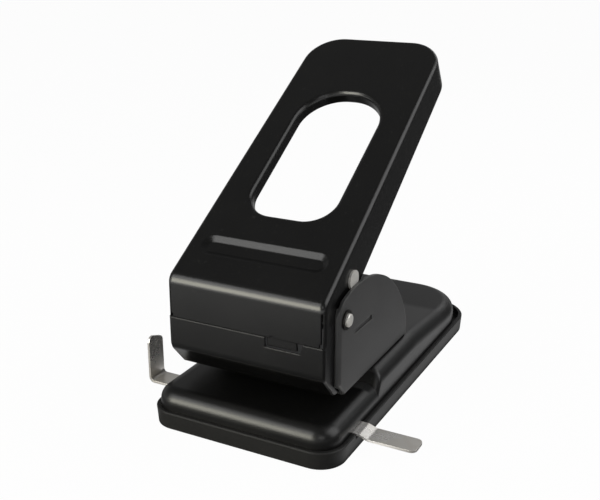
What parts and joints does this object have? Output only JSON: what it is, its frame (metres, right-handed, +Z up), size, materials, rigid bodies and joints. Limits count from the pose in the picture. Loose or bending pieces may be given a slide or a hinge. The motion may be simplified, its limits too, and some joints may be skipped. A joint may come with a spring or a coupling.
{
  "type": "hole punch",
  "caption": "Desk hole punch with a long windowed pressed-steel lever hinged between rounded cheeks, a stepped base, a sliding paper guide and a clip-on chip tray.",
  "frame": {"origin": "middle of the chip tray's flat underside, on the table", "axes": "+X to the right seen from the side where paper goes in, +Y to the back along the base, +Z up"},
  "size_m": [0.1886, 0.257, 0.2209],
  "materials": {
    "lever_paint": "satin near-black paint",
    "cover_paint": "satin near-black paint",
    "frame_paint": "satin near-black paint",
    "tray_plastic": "fine matt black moulding",
    "plated_steel": "bright zinc plating",
    "tool_steel": "ground steel",
    "spring_wire": "drawn spring wire"
  },
  "bodies": {
    "base": {"base_cover": "cover_paint", "die_plate": "plated_steel", "frame": "frame_paint", "frame_rivets": "frame_paint", "upper_guide": "frame_paint", "front_cover": "cover_paint", "pivot_shaft": "plated_steel", "pivot_clip_left": "frame_paint", "pivot_clip_right": "frame_paint", "guide_hanger_left": "plated_steel", "guide_hanger_right": "plated_steel", "guide_leaf": "spring_wire", "return_spring_left": "spring_wire", "return_spring_right": "spring_wire"},
    "tray": {"chip_tray": "tray_plastic"},
    "lever": {"handle": "lever_paint", "drive_shaft": "plated_steel"},
    "punches": {"crosshead": "plated_steel", "punch_left": "tool_steel", "punch_right": "tool_steel", "punch_clip_left": "plated_steel", "punch_clip_right": "plated_steel"},
    "guide": {"paper_guide": "plated_steel"}
  },
  "joints": [
    {"name": "lever_hinge", "type": "hinge", "parent": "base", "child": "lever", "pos_m": [0, -0.09485, 0.0828], "axis": [-1, 0, 0], "range_deg": [0, 32.4], "stiffness_Nm_per_rad": 2, "springref_deg": -28.65},
    {"name": "punch_slide", "type": "slide", "parent": "base", "child": "punches", "axis": [0, 0, -1], "range_m": [0, 0.01145], "deforming": ["return_spring_left", "return_spring_right"]},
    {"name": "guide_slide", "type": "slide", "parent": "base", "child": "guide", "axis": [1, 0, 0], "range_m": [-0.06, 0.012]},
    {"name": "tray_pull", "type": "slide", "parent": "base", "child": "tray", "axis": [0, 0, -1], "range_m": [0, 0.02]}
  ],
  "couplings": [
    {"joint": "punch_slide", "follows": "lever_hinge", "m_per_rad": 0.020214}
  ]
}
